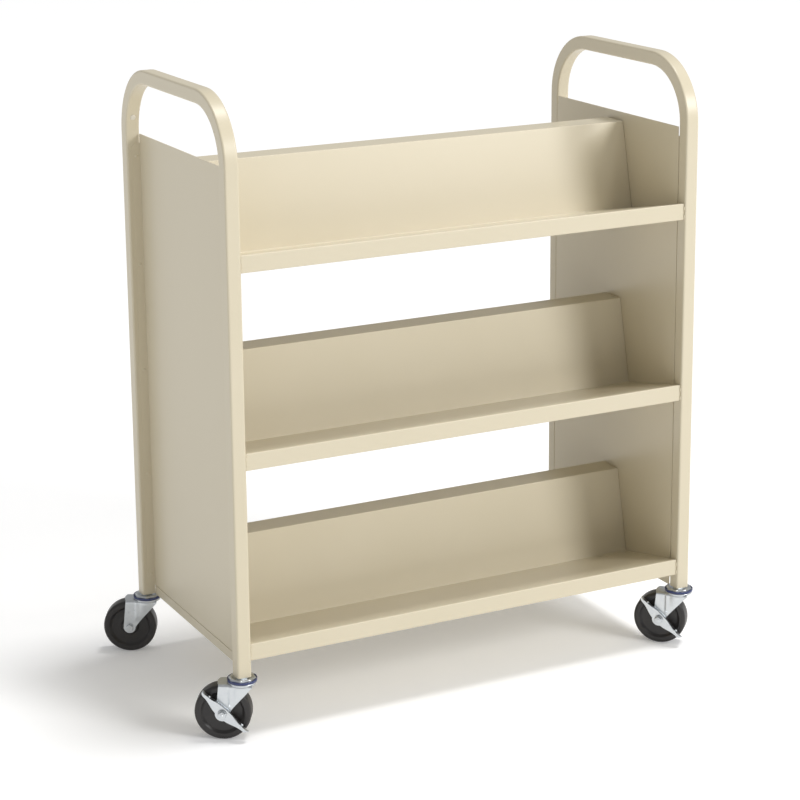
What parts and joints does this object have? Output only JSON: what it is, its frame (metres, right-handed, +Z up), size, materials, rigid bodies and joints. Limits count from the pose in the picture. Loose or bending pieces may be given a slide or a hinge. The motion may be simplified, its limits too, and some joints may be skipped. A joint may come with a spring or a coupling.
{
  "type": "book cart",
  "caption": "Double-sided book cart with slanted sheet-steel shelves between two tubular end frames, on swivel casters with side brakes at the front.",
  "frame": {"origin": "on the floor, under the middle of the bounding box with the casters trailing to the left and back", "axes": "+X along the cart to its right end, +Y from the front to the back, +Z up"},
  "size_m": [0.9942, 0.5267, 1.105],
  "materials": {
    "sand_powder_coat": "semi-gloss powder coat",
    "zinc_plated_steel": "bright zinc plate",
    "bearing_steel": "polished",
    "blue_plastic": "semi-gloss",
    "black_rubber": "satin",
    "nylon": "matte",
    "plug_plastic": "matte"
  },
  "bodies": {
    "cart_frame": {"left_end_tube": "sand_powder_coat", "right_end_tube": "sand_powder_coat", "left_end_panel": "sand_powder_coat", "right_end_panel": "sand_powder_coat", "left_panel_rivets": "sand_powder_coat", "right_panel_rivets": "sand_powder_coat", "drain_hole_plugs": "plug_plastic", "top_shelf": "sand_powder_coat", "middle_shelf": "sand_powder_coat", "bottom_shelf": "sand_powder_coat", "shelf_tack_welds": "sand_powder_coat", "front_left_stem_socket": "zinc_plated_steel", "front_left_stem": "zinc_plated_steel", "front_left_race_cap": "zinc_plated_steel", "front_left_seal_ring": "blue_plastic", "back_left_stem_socket": "zinc_plated_steel", "back_left_stem": "zinc_plated_steel", "back_left_race_cap": "zinc_plated_steel", "back_left_seal_ring": "blue_plastic", "front_right_stem_socket": "zinc_plated_steel", "front_right_stem": "zinc_plated_steel", "front_right_race_cap": "zinc_plated_steel", "front_right_seal_ring": "blue_plastic", "back_right_stem_socket": "zinc_plated_steel", "back_right_stem": "zinc_plated_steel", "back_right_race_cap": "zinc_plated_steel", "back_right_seal_ring": "blue_plastic"},
    "front_left_swivel_fork": {"front_left_fork": "zinc_plated_steel", "front_left_swivel_balls": "bearing_steel", "front_left_axle_bolt": "zinc_plated_steel", "front_left_axle_nut": "zinc_plated_steel", "front_left_axle_sleeve": "zinc_plated_steel", "front_left_brake_washer": "zinc_plated_steel"},
    "front_left_rolling_wheel": {"front_left_wheel": "black_rubber", "front_left_wheel_bush": "nylon"},
    "front_left_brake": {"front_left_brake_lever": "zinc_plated_steel"},
    "back_left_swivel_fork": {"back_left_fork": "zinc_plated_steel", "back_left_swivel_balls": "bearing_steel", "back_left_axle_bolt": "zinc_plated_steel", "back_left_axle_nut": "zinc_plated_steel", "back_left_axle_sleeve": "zinc_plated_steel"},
    "back_left_rolling_wheel": {"back_left_wheel": "black_rubber", "back_left_wheel_bush": "nylon"},
    "front_right_swivel_fork": {"front_right_fork": "zinc_plated_steel", "front_right_swivel_balls": "bearing_steel", "front_right_axle_bolt": "zinc_plated_steel", "front_right_axle_nut": "zinc_plated_steel", "front_right_axle_sleeve": "zinc_plated_steel", "front_right_brake_washer": "zinc_plated_steel"},
    "front_right_rolling_wheel": {"front_right_wheel": "black_rubber", "front_right_wheel_bush": "nylon"},
    "front_right_brake": {"front_right_brake_lever": "zinc_plated_steel"},
    "back_right_swivel_fork": {"back_right_fork": "zinc_plated_steel", "back_right_swivel_balls": "bearing_steel", "back_right_axle_bolt": "zinc_plated_steel", "back_right_axle_nut": "zinc_plated_steel", "back_right_axle_sleeve": "zinc_plated_steel"},
    "back_right_rolling_wheel": {"back_right_wheel": "black_rubber", "back_right_wheel_bush": "nylon"}
  },
  "joints": [
    {"name": "front_left_swivel", "type": "hinge", "parent": "cart_frame", "child": "front_left_swivel_fork", "pos_m": [-0.41773, -0.23635, 0.112], "axis": [0, 0, 1], "continuous": true},
    {"name": "front_left_roll", "type": "hinge", "parent": "front_left_swivel_fork", "child": "front_left_rolling_wheel", "pos_m": [-0.44601, -0.21935, 0.049], "axis": [-0.515, -0.8572, 0], "continuous": true},
    {"name": "front_left_brake_press", "type": "hinge", "parent": "front_left_swivel_fork", "child": "front_left_brake", "pos_m": [-0.44601, -0.21935, 0.049], "axis": [-0.515, -0.8572, 0], "range_deg": [0, 45]},
    {"name": "back_left_swivel", "type": "hinge", "parent": "cart_frame", "child": "back_left_swivel_fork", "pos_m": [-0.41773, 0.20825, 0.112], "axis": [0, 0, 1], "continuous": true},
    {"name": "back_left_roll", "type": "hinge", "parent": "back_left_swivel_fork", "child": "back_left_rolling_wheel", "pos_m": [-0.44687, 0.22375, 0.049], "axis": [-0.4695, -0.8829, 0], "continuous": true},
    {"name": "front_right_swivel", "type": "hinge", "parent": "cart_frame", "child": "front_right_swivel_fork", "pos_m": [0.47127, -0.23635, 0.112], "axis": [0, 0, 1], "continuous": true},
    {"name": "front_right_roll", "type": "hinge", "parent": "front_right_swivel_fork", "child": "front_right_rolling_wheel", "pos_m": [0.44794, -0.21301, 0.049], "axis": [-0.7071, -0.7071, 0], "continuous": true},
    {"name": "front_right_brake_press", "type": "hinge", "parent": "front_right_swivel_fork", "child": "front_right_brake", "pos_m": [0.44794, -0.21301, 0.049], "axis": [-0.7071, -0.7071, 0], "range_deg": [0, 45]},
    {"name": "back_right_swivel", "type": "hinge", "parent": "cart_frame", "child": "back_right_swivel_fork", "pos_m": [0.47127, 0.20825, 0.112], "axis": [0, 0, 1], "continuous": true},
    {"name": "back_right_roll", "type": "hinge", "parent": "back_right_swivel_fork", "child": "back_right_rolling_wheel", "pos_m": [0.44269, 0.22475, 0.049], "axis": [-0.5, -0.866, 0], "continuous": true}
  ]
}
